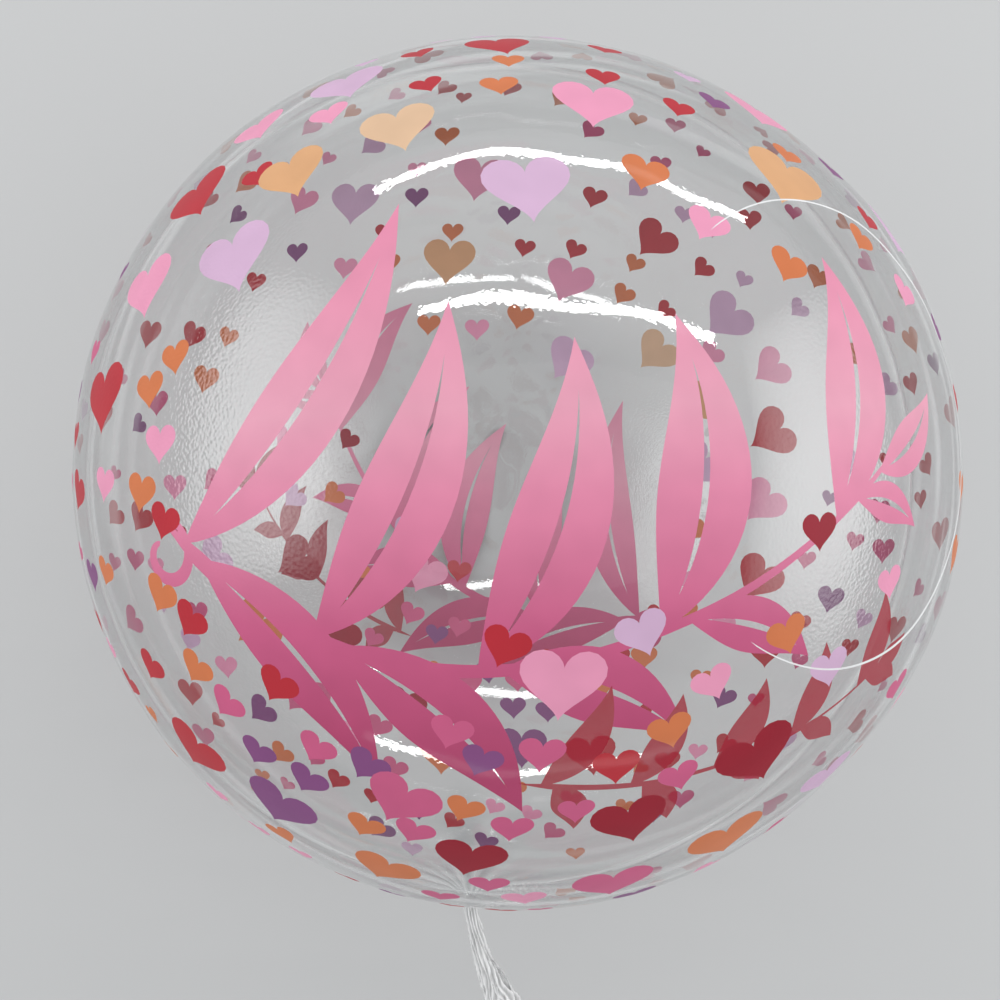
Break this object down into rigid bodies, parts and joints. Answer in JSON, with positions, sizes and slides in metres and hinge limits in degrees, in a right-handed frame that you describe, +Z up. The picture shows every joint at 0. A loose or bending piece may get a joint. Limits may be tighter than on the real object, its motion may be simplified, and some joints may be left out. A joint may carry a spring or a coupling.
{
  "type": "printed clear bubble balloon",
  "caption": "Inflated clear film bubble printed with hearts and leafy sprigs, with a weld round its middle and a gathered neck with a short film tail.",
  "frame": {"origin": "centre of the small flat spot that the balloon rests on", "axes": "+Z up, through the ball's centre to the middle of the printed front; -Y along the gathered neck and its tail; +X towards the blister in the front film"},
  "size_m": [0.5044, 0.6229, 0.4982],
  "materials": {
    "clear_film": "clear glossy stretch film with opaque printed ink, thin pale weld line and whitish crumpled pleats at the neck"
  },
  "bodies": {
    "root": {"bubble_film": "clear_film"}
  },
  "joints": []
}
